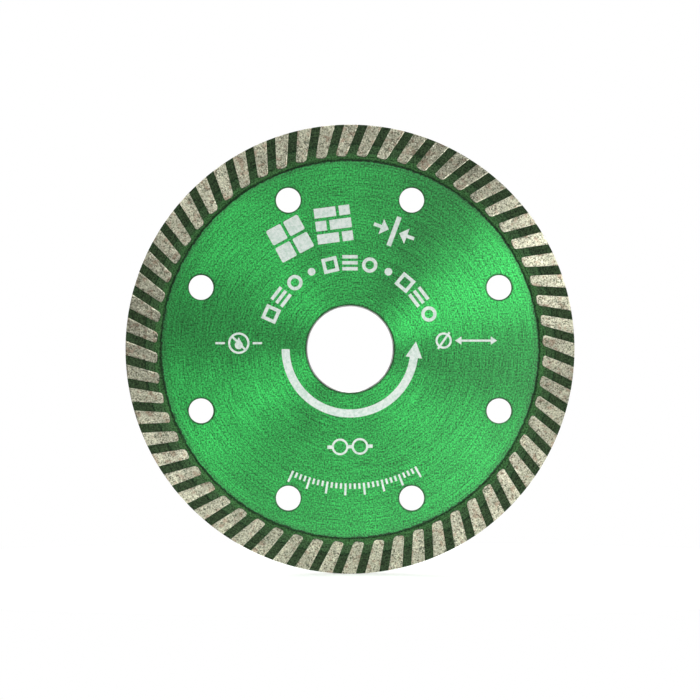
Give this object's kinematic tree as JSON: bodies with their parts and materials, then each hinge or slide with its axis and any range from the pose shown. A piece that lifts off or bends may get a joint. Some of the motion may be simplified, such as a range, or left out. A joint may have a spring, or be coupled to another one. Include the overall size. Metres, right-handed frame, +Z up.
{
  "type": "turbo diamond blade",
  "caption": "Thin round cutting blade for tile and masonry: steel core with a bore and cooling holes, ribbed sintered diamond rim, green lacquer and white printed marks.",
  "frame": {"origin": "centre of the bore at the blade's mid-thickness", "axes": "+Y along the blade's axis towards its plain back, the printed face looks along -Y, +Z up as the print is read"},
  "size_m": [0.105, 0.001, 0.105],
  "materials": {
    "core_steel": "punched and ground spring steel, bare at the bore and in the cooling holes",
    "sintered_rim": "grey-beige sintered metal with diamond grit, ground bare on the ribs, lacquered in the grooves",
    "green_lacquer": "translucent green lacquer over brushed steel",
    "white_ink": "flat screen-printed white ink"
  },
  "bodies": {
    "root": {"steel_core": "core_steel", "diamond_rim": "sintered_rim", "front_lacquer": "green_lacquer", "back_lacquer": "green_lacquer", "arrow_print": "white_ink", "floor_tile_print": "white_ink", "brick_print": "white_ink", "thin_cut_print": "white_ink", "caption_print": "white_ink", "dry_use_print": "white_ink", "diameter_print": "white_ink", "goggles_print": "white_ink", "tick_scale_print": "white_ink"}
  },
  "joints": []
}
